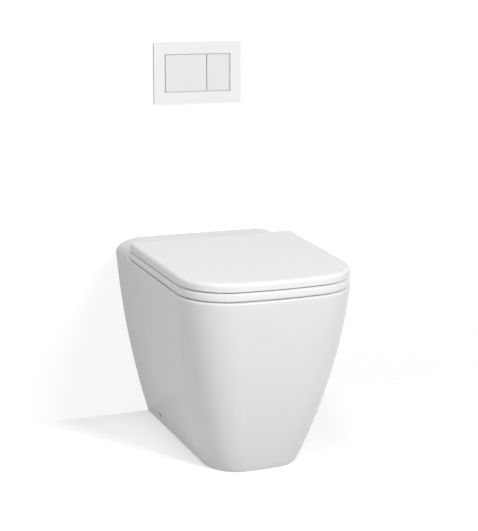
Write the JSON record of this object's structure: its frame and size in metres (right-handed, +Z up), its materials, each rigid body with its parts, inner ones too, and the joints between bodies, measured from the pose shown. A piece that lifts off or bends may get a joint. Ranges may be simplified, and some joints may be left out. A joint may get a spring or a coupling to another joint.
{
  "type": "back to wall toilet",
  "caption": "Back to wall toilet with a tapering skirted pan, hinged seat and lid, wall flush plate with two buttons, and the concealed cistern that it works.",
  "frame": {"origin": "the corner of floor and wall face on the pan's centreline", "axes": "+X right seen from the front, +Y into the wall, +Z up; the pan points along -Y"},
  "size_m": [0.4698, 0.7039, 0.96],
  "materials": {
    "china": "gloss",
    "seat_plastic": "gloss",
    "plate_plastic": "satin",
    "steel": "satin",
    "rubber": "matte",
    "blue_plastic": "matte",
    "white_plastic": "satin",
    "off_white_plastic": "satin",
    "grey_plastic": "satin",
    "plated_brass": "gloss"
  },
  "bodies": {
    "fixed_parts": {"pan": "china", "hinge_posts": "steel", "hinge_pins": "steel", "post_gaskets": "rubber", "fixing_studs": "steel", "stud_washers": "rubber", "wing_nuts": "white_plastic", "floor_blocks": "blue_plastic", "side_screws": "steel", "side_caps": "plate_plastic", "outlet_connector": "grey_plastic", "outlet_seal": "rubber", "inlet_connector": "rubber", "flush_pipe": "off_white_plastic", "pipe_gasket": "rubber", "coupling_nut": "off_white_plastic", "cistern_tank": "off_white_plastic", "tank_cover": "off_white_plastic", "wall_straps": "steel", "strap_screws": "steel", "access_shroud": "grey_plastic", "valve_body": "white_plastic", "valve_gasket": "rubber", "valve_nut": "white_plastic", "fill_valve": "white_plastic", "shank_washer": "rubber", "shank_nut": "off_white_plastic", "union_nut": "plated_brass", "stop_valve": "plated_brass", "lever_bracket": "steel", "bracket_rivets": "steel", "lever_pin": "steel", "lever_spacers": "off_white_plastic", "plate_bracket": "grey_plastic", "bracket_screws": "steel", "flush_plate": "plate_plastic", "full_spring": "steel", "half_spring": "steel"},
    "seat_unit": {"seat": "seat_plastic", "seat_buffers": "rubber"},
    "lid_unit": {"lid": "seat_plastic", "lid_buffers": "rubber"},
    "full_button_unit": {"full_button": "plate_plastic", "full_push_rod": "steel"},
    "half_button_unit": {"half_button": "plate_plastic", "half_push_rod": "steel"},
    "full_lever_unit": {"full_lever": "white_plastic"},
    "half_lever_unit": {"half_lever": "blue_plastic"},
    "flush_lift": {"overflow_tube": "grey_plastic", "valve_seal": "rubber"},
    "half_lift": {"half_flush_rod": "blue_plastic"},
    "float_unit": {"float_cup": "off_white_plastic", "float_rod": "steel"},
    "handle_unit": {"stop_handle": "blue_plastic"}
  },
  "joints": [
    {"name": "seat_hinge", "type": "hinge", "parent": "fixed_parts", "child": "seat_unit", "pos_m": [0, -0.1085, 0.4305], "axis": [-1, 0, 0], "range_deg": [0, 97]},
    {"name": "lid_hinge", "type": "hinge", "parent": "seat_unit", "child": "lid_unit", "pos_m": [0, -0.1085, 0.4305], "axis": [1, 0, 0], "range_deg": [-100, 0]},
    {"name": "full_button_slide", "type": "slide", "parent": "fixed_parts", "child": "full_button_unit", "axis": [0, 1, 0], "range_m": [0, 0.005], "stiffness_N_per_m": 500, "springref_m": -0.002, "deforming": ["full_spring"]},
    {"name": "half_button_slide", "type": "slide", "parent": "fixed_parts", "child": "half_button_unit", "axis": [0, 1, 0], "range_m": [0, 0.005], "stiffness_N_per_m": 500, "springref_m": -0.002, "deforming": ["half_spring"]},
    {"name": "full_lever_turn", "type": "hinge", "parent": "fixed_parts", "child": "full_lever_unit", "pos_m": [0, 0.062, 0.8243], "axis": [1, 0, 0], "range_deg": [0, 25.1]},
    {"name": "half_lever_turn", "type": "hinge", "parent": "fixed_parts", "child": "half_lever_unit", "pos_m": [0, 0.062, 0.8243], "axis": [1, 0, 0], "range_deg": [0, 25.1]},
    {"name": "flush_lift_slide", "type": "slide", "parent": "fixed_parts", "child": "flush_lift", "axis": [0, 0, 1], "range_m": [0, 0.0181]},
    {"name": "half_lift_slide", "type": "slide", "parent": "fixed_parts", "child": "half_lift", "axis": [0, 0, 1], "range_m": [0, 0.0181]},
    {"name": "float_slide", "type": "slide", "parent": "fixed_parts", "child": "float_unit", "axis": [0, 0, 1], "range_m": [0, 0.025]},
    {"name": "stop_handle_turn", "type": "hinge", "parent": "fixed_parts", "child": "handle_unit", "pos_m": [-0.254, 0.095, 0.87], "axis": [0, 0, 1], "range_deg": [0, 90]}
  ],
  "couplings": [
    {"joint": "full_lever_turn", "follows": "full_button_slide", "rad_per_m": 87.27},
    {"joint": "half_lever_turn", "follows": "half_button_slide", "rad_per_m": 87.27},
    {"joint": "flush_lift_slide", "follows": "full_button_slide", "ratio": 3.6},
    {"joint": "half_lift_slide", "follows": "half_button_slide", "ratio": 3.6}
  ]
}
